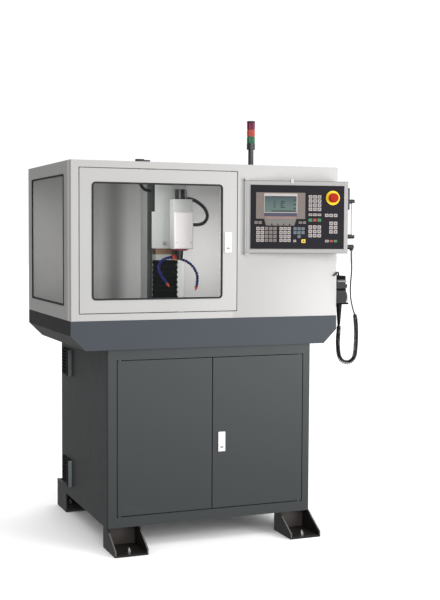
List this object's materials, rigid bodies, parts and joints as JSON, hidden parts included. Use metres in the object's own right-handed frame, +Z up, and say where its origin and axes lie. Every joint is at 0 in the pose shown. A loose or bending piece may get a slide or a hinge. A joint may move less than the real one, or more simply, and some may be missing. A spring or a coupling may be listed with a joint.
{
  "type": "cnc milling machine",
  "caption": "Enclosed milling machine on a cabinet stand, with a windowed swing door, turned operator panel, hand pendant on a curly lead, signal tower and moving table and head.",
  "frame": {"origin": "on the floor, under the middle of the machine's outline without the pendant's lead", "axes": "+Z up, +X to the operator's right, -Y towards the operator"},
  "size_m": [1.2737, 0.9922, 1.781],
  "materials": {
    "enclosure_paint": "satin powder coat",
    "tray_paint": "satin blue-grey paint",
    "cabinet_paint": "fine textured grey paint",
    "foot_paint": "dark satin paint",
    "fastener_steel": "zinc plated",
    "window_pane": "clear pane",
    "seal_rubber": "matt black profile",
    "latch_silver": "pale satin",
    "lever_silver": "pale satin",
    "black_plastic": "fine grained black",
    "cord_black": "smooth black jacket",
    "wheel_white": "white dial",
    "tank_plastic": "moulded grey",
    "pump_paint": "blue enamel",
    "drive_plastic": "moulded dark grey",
    "tower_metal": "satin tube",
    "tower_lens": "coloured lens stack",
    "panel_paint": "satin powder coat",
    "panel_black": "black membrane sheet",
    "key_grey": "membrane keys",
    "screen_gloss": "display window and surround",
    "stop_yellow": "yellow disc",
    "stop_red": "red mushroom",
    "handle_pale": "pale bar",
    "machine_paint": "pale machine enamel",
    "machine_casting": "painted casting",
    "table_steel": "ground face",
    "spindle_steel": "blackened steel",
    "screw_steel": "ground screw",
    "motor_black": "black anodised",
    "bellows_rubber": "pleated black",
    "bracket_bronze": "bronze",
    "hose_blue": "blue jointed hose"
  },
  "bodies": {
    "frame": {"base_cabinet": "cabinet_paint", "hinge_pins": "fastener_steel", "feet": "foot_paint", "foot_bolts": "fastener_steel", "chip_tray": "tray_paint", "enclosure_front_panel": "enclosure_paint", "enclosure_shell": "enclosure_paint", "side_window_glass": "window_pane", "side_window_seal": "seal_rubber", "door_switch": "black_plastic", "tower_pole": "tower_metal", "tower_lenses": "tower_lens", "tower_cap": "black_plastic", "pendant_hook": "black_plastic", "fan_housings": "black_plastic", "coolant_tank": "tank_plastic", "coolant_pump": "pump_paint", "drive_cabinet": "drive_plastic", "machine_bed": "machine_casting", "column": "machine_casting", "axis_motors": "motor_black", "z_bellows": "bellows_rubber", "ceiling_conduit": "cord_black", "pendant_body": "black_plastic", "pendant_lead": "cord_black", "pendant_coil": "cord_black"},
    "door": {"front_door": "enclosure_paint", "door_glass": "window_pane", "door_seal": "seal_rubber", "door_latch_housing": "latch_silver"},
    "door_lever": {"door_latch_lever": "lever_silver"},
    "left_leaf": {"cabinet_door_left": "cabinet_paint"},
    "right_leaf": {"cabinet_door_right": "cabinet_paint", "cabinet_latch_housing": "latch_silver"},
    "leaf_lever": {"cabinet_latch_lever": "lever_silver"},
    "operator_panel": {"control_housing": "panel_paint", "control_faceplate": "panel_black", "control_keys": "key_grey", "control_screen": "screen_gloss", "estop_collar": "stop_yellow", "panel_clip": "black_plastic", "panel_handle": "handle_pale", "pendant_socket": "black_plastic"},
    "stop_button": {"estop_button": "stop_red"},
    "cross_slide": {"saddle": "machine_casting"},
    "long_slide": {"table": "table_steel", "x_motor": "motor_black"},
    "head": {"head_casting": "machine_casting", "head_cover": "machine_paint", "spindle_motor": "motor_black", "coolant_bracket": "bracket_bronze", "coolant_hoses": "hose_blue", "head_conduit": "cord_black"},
    "tool_spindle": {"spindle": "spindle_steel"},
    "fan": {"fan_rotor": "black_plastic"},
    "hand_wheel": {"pendant_wheel": "wheel_white"},
    "axis_selector": {"pendant_selector": "black_plastic"},
    "x_feed_screw": {"x_screw": "screw_steel"},
    "y_feed_screw": {"y_screw": "screw_steel"},
    "z_feed_screw": {"z_screw": "screw_steel"}
  },
  "joints": [
    {"name": "front_door_swing", "type": "hinge", "parent": "frame", "child": "door", "pos_m": [-0.5815, -0.36391, 0.97], "axis": [0, 0, -1], "range_deg": [0, 110]},
    {"name": "front_latch_lift", "type": "hinge", "parent": "door", "child": "door_lever", "pos_m": [0.0395, -0.37391, 1.2846], "axis": [-1, 0, 0], "range_deg": [0, 60]},
    {"name": "cabinet_left_swing", "type": "hinge", "parent": "frame", "child": "left_leaf", "pos_m": [-0.4225, -0.35391, 0.136], "axis": [0, 0, -1], "range_deg": [0, 110]},
    {"name": "cabinet_right_swing", "type": "hinge", "parent": "frame", "child": "right_leaf", "pos_m": [0.3825, -0.35391, 0.136], "axis": [0, 0, 1], "range_deg": [0, 110]},
    {"name": "cabinet_latch_lift", "type": "hinge", "parent": "right_leaf", "child": "leaf_lever", "pos_m": [0.0195, -0.36391, 0.4476], "axis": [-1, 0, 0], "range_deg": [0, 60]},
    {"name": "operator_panel_swing", "type": "hinge", "parent": "frame", "child": "operator_panel", "pos_m": [0.1185, -0.38191, 1.211], "axis": [0, 0, -1], "range_deg": [0, 45]},
    {"name": "stop_press", "type": "slide", "parent": "operator_panel", "child": "stop_button", "axis": [0.2079, 0.9781, 0], "range_m": [0, 0.004]},
    {"name": "y_travel", "type": "slide", "parent": "frame", "child": "cross_slide", "axis": [0, 1, 0], "range_m": [-0.06, 0.06]},
    {"name": "x_travel", "type": "slide", "parent": "cross_slide", "child": "long_slide", "axis": [1, 0, 0], "range_m": [-0.145, 0.145]},
    {"name": "z_travel", "type": "slide", "parent": "frame", "child": "head", "axis": [0, 0, 1], "range_m": [-0.1, 0], "deforming": ["z_bellows"]},
    {"name": "spindle_turn", "type": "hinge", "parent": "head", "child": "tool_spindle", "pos_m": [-0.0845, -0.12191, 1.225], "axis": [0, 0, 1], "continuous": true},
    {"name": "fan_turn", "type": "hinge", "parent": "frame", "child": "fan", "pos_m": [-0.4445, 0.30809, 0.203], "axis": [1, 0, 0], "continuous": true},
    {"name": "hand_wheel_turn", "type": "hinge", "parent": "frame", "child": "hand_wheel", "pos_m": [0.6065, -0.31591, 1.017], "axis": [1, 0, 0], "continuous": true},
    {"name": "selector_turn", "type": "hinge", "parent": "frame", "child": "axis_selector", "pos_m": [0.6065, -0.31591, 1.064], "axis": [1, 0, 0], "range_deg": [-60, 60]},
    {"name": "x_screw_turn", "type": "hinge", "parent": "long_slide", "child": "x_feed_screw", "pos_m": [-0.0845, -0.12191, 0.9053], "axis": [1, 0, 0], "range_deg": [-5400, 5400]},
    {"name": "y_screw_turn", "type": "hinge", "parent": "frame", "child": "y_feed_screw", "pos_m": [-0.0845, -0.12191, 0.846], "axis": [0, 1, 0], "range_deg": [-2400, 2400]},
    {"name": "z_screw_turn", "type": "hinge", "parent": "frame", "child": "z_feed_screw", "pos_m": [-0.0845, 0.08209, 0.865], "axis": [0, 0, 1], "range_deg": [-3800, 200]}
  ],
  "couplings": [
    {"joint": "x_screw_turn", "follows": "x_travel", "rad_per_m": 628.32},
    {"joint": "y_screw_turn", "follows": "y_travel", "rad_per_m": 628.32},
    {"joint": "z_screw_turn", "follows": "z_travel", "rad_per_m": 628.32}
  ]
}
